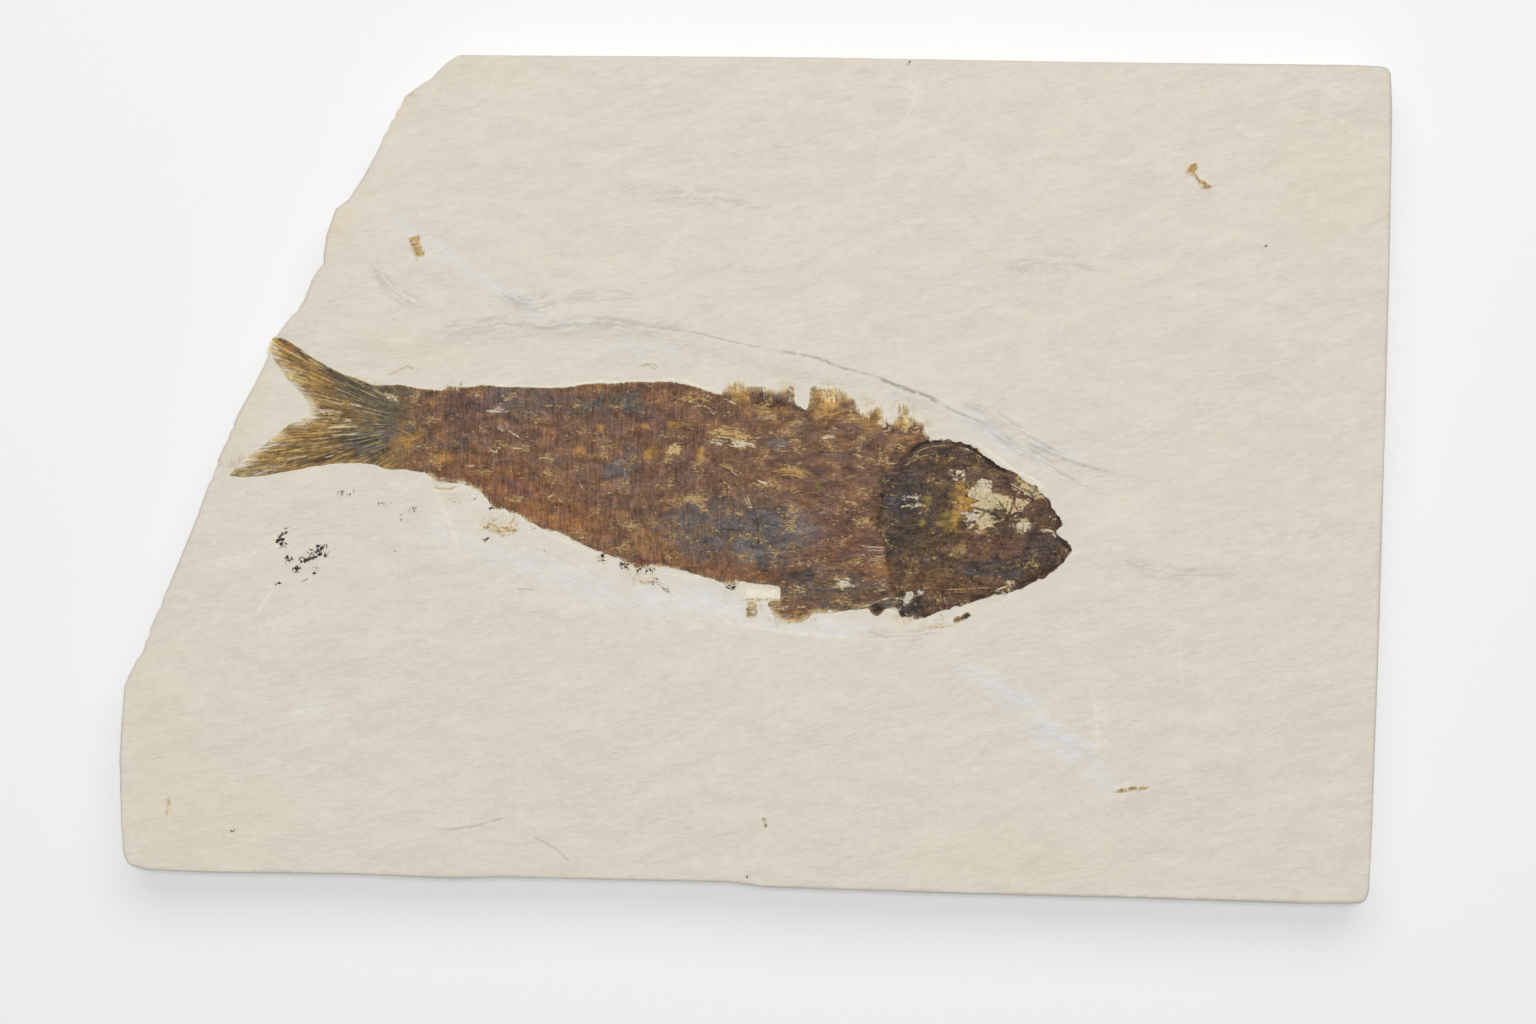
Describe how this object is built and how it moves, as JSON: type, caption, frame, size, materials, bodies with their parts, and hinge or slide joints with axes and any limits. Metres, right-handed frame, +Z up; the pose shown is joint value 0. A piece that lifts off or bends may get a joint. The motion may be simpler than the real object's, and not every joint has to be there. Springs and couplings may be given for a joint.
{
  "type": "fossil fish slab",
  "caption": "Flat limestone slab with a pressed fossil fish in low relief, sawn on three sides and broken on the fourth.",
  "frame": {"origin": "middle of the slab's underside, at the middle of the bounding box", "axes": "+X along the slab's length towards the fish's head, +Y towards the fish's back, +Z up out of the stone's split face"},
  "size_m": [0.1788, 0.1192, 0.0111],
  "materials": {
    "stone": "matte",
    "fossil": "satin",
    "flake": "satin"
  },
  "bodies": {
    "root": {"limestone_slab": "stone", "fossil_fish": "fossil", "pelvic_fin_remnant": "flake", "anal_fin_remnant": "flake", "throat_bone": "flake", "flake_above_back": "flake", "flake_upper_left": "flake", "scale_pair_upper_right": "flake", "sliver_lower_right": "flake", "flake_low_centre": "flake"}
  },
  "joints": []
}
